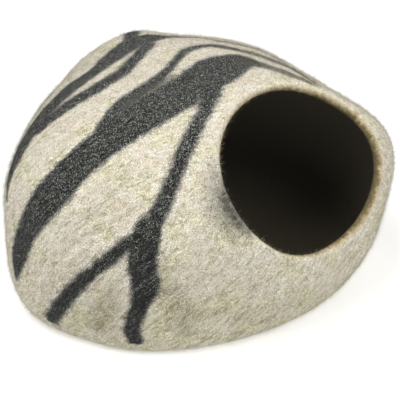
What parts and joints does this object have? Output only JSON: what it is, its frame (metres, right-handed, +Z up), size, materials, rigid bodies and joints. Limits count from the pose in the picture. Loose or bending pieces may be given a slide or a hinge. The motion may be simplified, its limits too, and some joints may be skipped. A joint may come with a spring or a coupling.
{
  "type": "felt cat cave",
  "caption": "One-piece hollow felt cave bed, rounded and uneven, with a wide round mouth that looks up a little, a flat base, and charcoal zebra stripes on undyed wool.",
  "frame": {"origin": "on the floor under the middle of the shell's bounding box", "axes": "+Z up, -Y out of the mouth, +X to the right of someone who looks along +Y into it"},
  "size_m": [0.4738, 0.4744, 0.2639],
  "materials": {
    "wool_felt": "matt wet-felted wool, undyed cream with charcoal zebra stripes felted into it"
  },
  "bodies": {
    "root": {"felt_shell": "wool_felt"}
  },
  "joints": []
}
